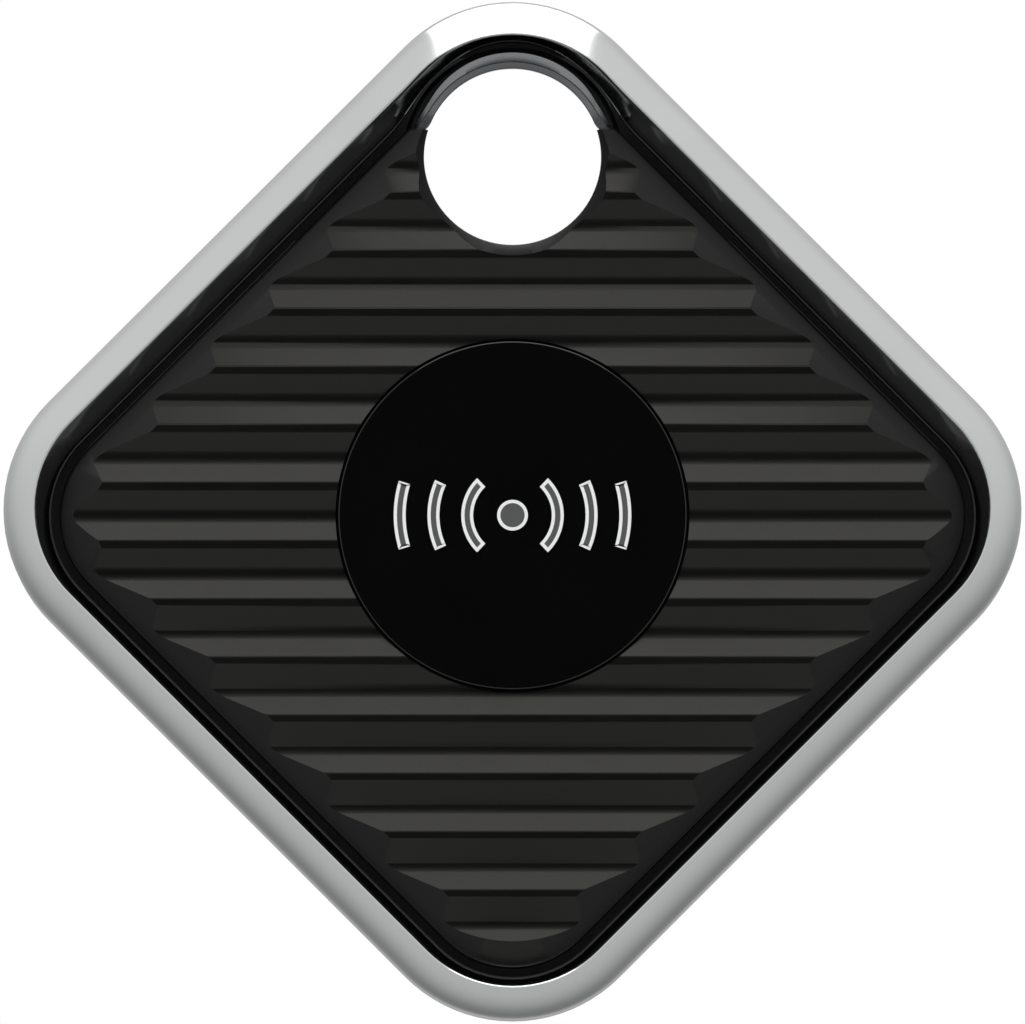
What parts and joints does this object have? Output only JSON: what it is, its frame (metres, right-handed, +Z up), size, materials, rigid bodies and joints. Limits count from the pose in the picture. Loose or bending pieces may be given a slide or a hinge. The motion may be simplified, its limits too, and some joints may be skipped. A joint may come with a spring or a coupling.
{
  "type": "bluetooth tracker tag",
  "caption": "Square metal-framed key tag with a ridged front, a round press button, a key hole in its top corner and a screw-in battery door in its back.",
  "frame": {"origin": "centre of the key hole at half the tag's thickness, where a key ring holds the tag up", "axes": "+Z up towards the key hole's corner, ridged face towards -Y, +X to the right seen from the front"},
  "size_m": [0.0528, 0.0084, 0.0529],
  "materials": {
    "polished_metal": "polished",
    "eye_metal": "polished",
    "satin_black": "satin",
    "gloss_black": "gloss",
    "steel": "satin",
    "gold_plate": "plated",
    "rubber_black": "matte",
    "adhesive": "matte",
    "board_green": "solder mask",
    "nylon_white": "moulded",
    "chip_black": "moulded",
    "ceramic": "fired",
    "copper": "enamelled wire",
    "membrane": "matte"
  },
  "bodies": {
    "housing": {"bezel_frame": "polished_metal", "front_cover": "satin_black", "key_eye_arch": "eye_metal", "back_shell": "satin_black", "shell_gasket": "rubber_black", "cover_adhesive": "adhesive", "circuit_board": "board_green", "radio_chip": "chip_black", "crystal": "steel", "chip_antenna": "ceramic", "power_inductor": "chip_black", "bulk_capacitor": "ceramic", "sounder_driver": "chip_black", "switch_body": "chip_black", "switch_dome": "steel", "battery_holder": "nylon_white", "negative_contact": "gold_plate", "positive_contact": "gold_plate", "cell_can": "steel", "cell_gasket": "nylon_white", "cell_cap": "steel", "port_membrane": "membrane", "sounder_case": "chip_black", "sounder_diaphragm": "steel", "sounder_magnet": "rubber_black", "sounder_coil": "copper", "sounder_core": "steel", "housing_screw_1": "steel", "housing_screw_2": "steel", "housing_screw_3": "steel", "housing_screw_4": "steel"},
    "button": {"button_cap": "gloss_black", "switch_plunger": "nylon_white"},
    "door_seal": {"door_seal_ring": "rubber_black"},
    "door": {"battery_door": "satin_black"}
  },
  "joints": [
    {"name": "button_press", "type": "slide", "parent": "housing", "child": "button", "axis": [0, 1, 0], "range_m": [0, 0.00025], "stiffness_N_per_m": 3000},
    {"name": "door_lift", "type": "slide", "parent": "housing", "child": "door_seal", "axis": [0, 1, 0], "range_m": [0, 0.00205]},
    {"name": "door_twist", "type": "hinge", "parent": "door_seal", "child": "door", "pos_m": [0, 0.0042, -0.01935], "axis": [0, 1, 0], "range_deg": [0, 720]}
  ],
  "couplings": [
    {"joint": "door_lift", "follows": "door_twist", "m_per_rad": 0.00015915}
  ]
}
